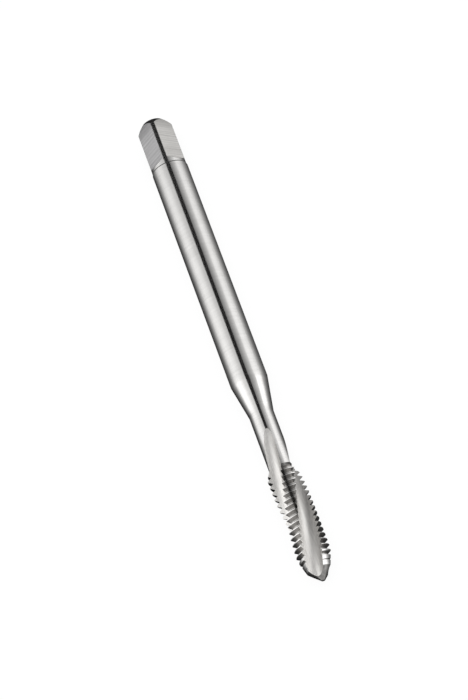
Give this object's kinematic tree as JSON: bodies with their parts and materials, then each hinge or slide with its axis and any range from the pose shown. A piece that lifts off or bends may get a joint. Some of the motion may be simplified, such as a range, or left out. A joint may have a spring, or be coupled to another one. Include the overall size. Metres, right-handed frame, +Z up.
{
  "type": "thread tap",
  "caption": "Machine tap for M4 x 0.7: three right-hand helical flutes, lead chamfer, relieved neck, plain shank and square drive.",
  "frame": {"origin": "under the middle of the tool's length, on the plane that the shank lies on", "axes": "+X along the tool's axis from the point to the square end, +Z up, one corner of the square drive straight up"},
  "size_m": [0.063, 0.0044, 0.0045],
  "materials": {
    "ground_steel": "bright ground high-speed steel, fine grinding lines"
  },
  "bodies": {
    "root": {"thread_tap": "ground_steel"}
  },
  "joints": []
}
